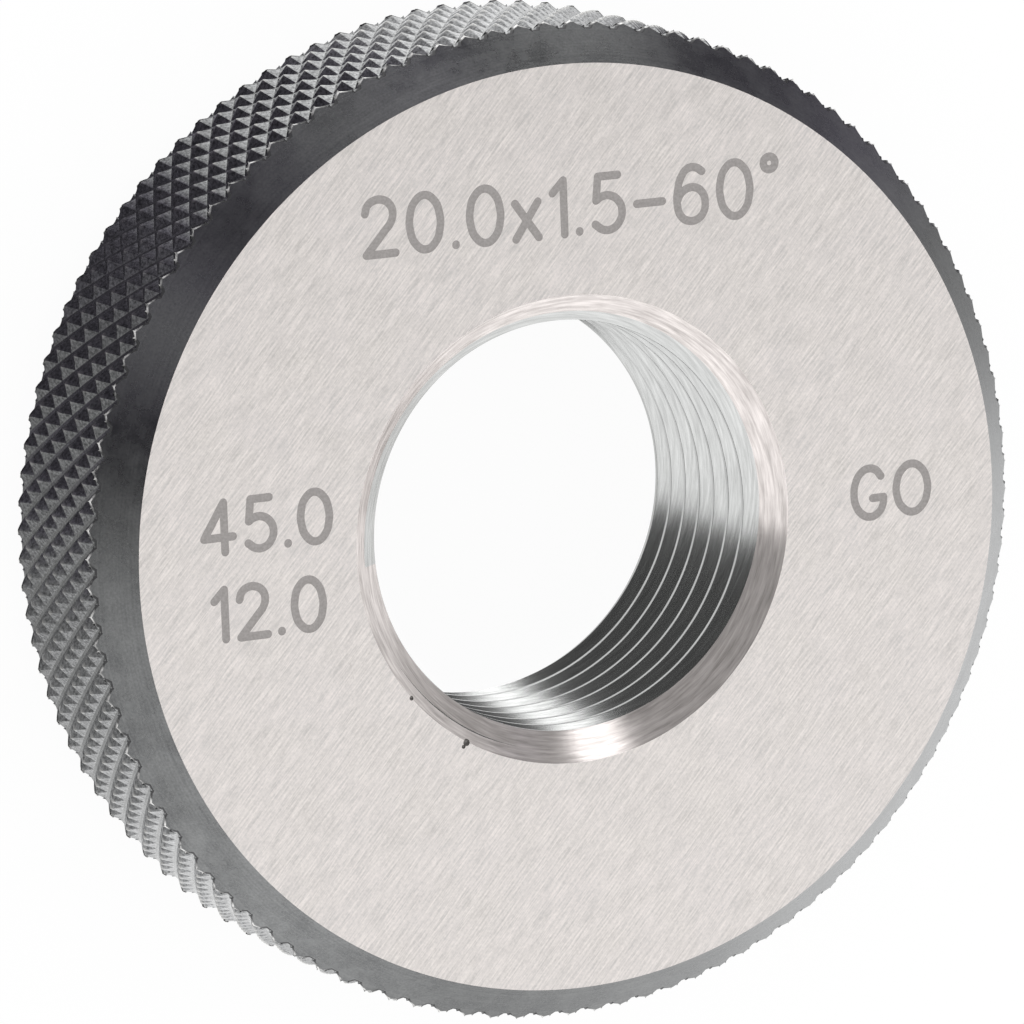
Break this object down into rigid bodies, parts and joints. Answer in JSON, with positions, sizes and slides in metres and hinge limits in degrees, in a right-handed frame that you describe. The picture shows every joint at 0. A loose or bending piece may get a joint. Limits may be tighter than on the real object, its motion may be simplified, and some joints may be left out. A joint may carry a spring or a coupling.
{
  "type": "thread ring gauge",
  "caption": "Thick flat steel ring with a fine-threaded bore, diamond-knurled rim and chamfered edges, for checking an external thread.",
  "frame": {"origin": "on the bore's axis, at the back face that the ring rests on", "axes": "+Z along the bore's axis, from the back face to the marked face; +Y is up for the marks on that face"},
  "size_m": [0.045, 0.045, 0.012],
  "materials": {
    "steel": "ground faces and bore, black oxide on the knurled rim and its chamfers"
  },
  "bodies": {
    "root": {"ring_body": "steel"}
  },
  "joints": []
}
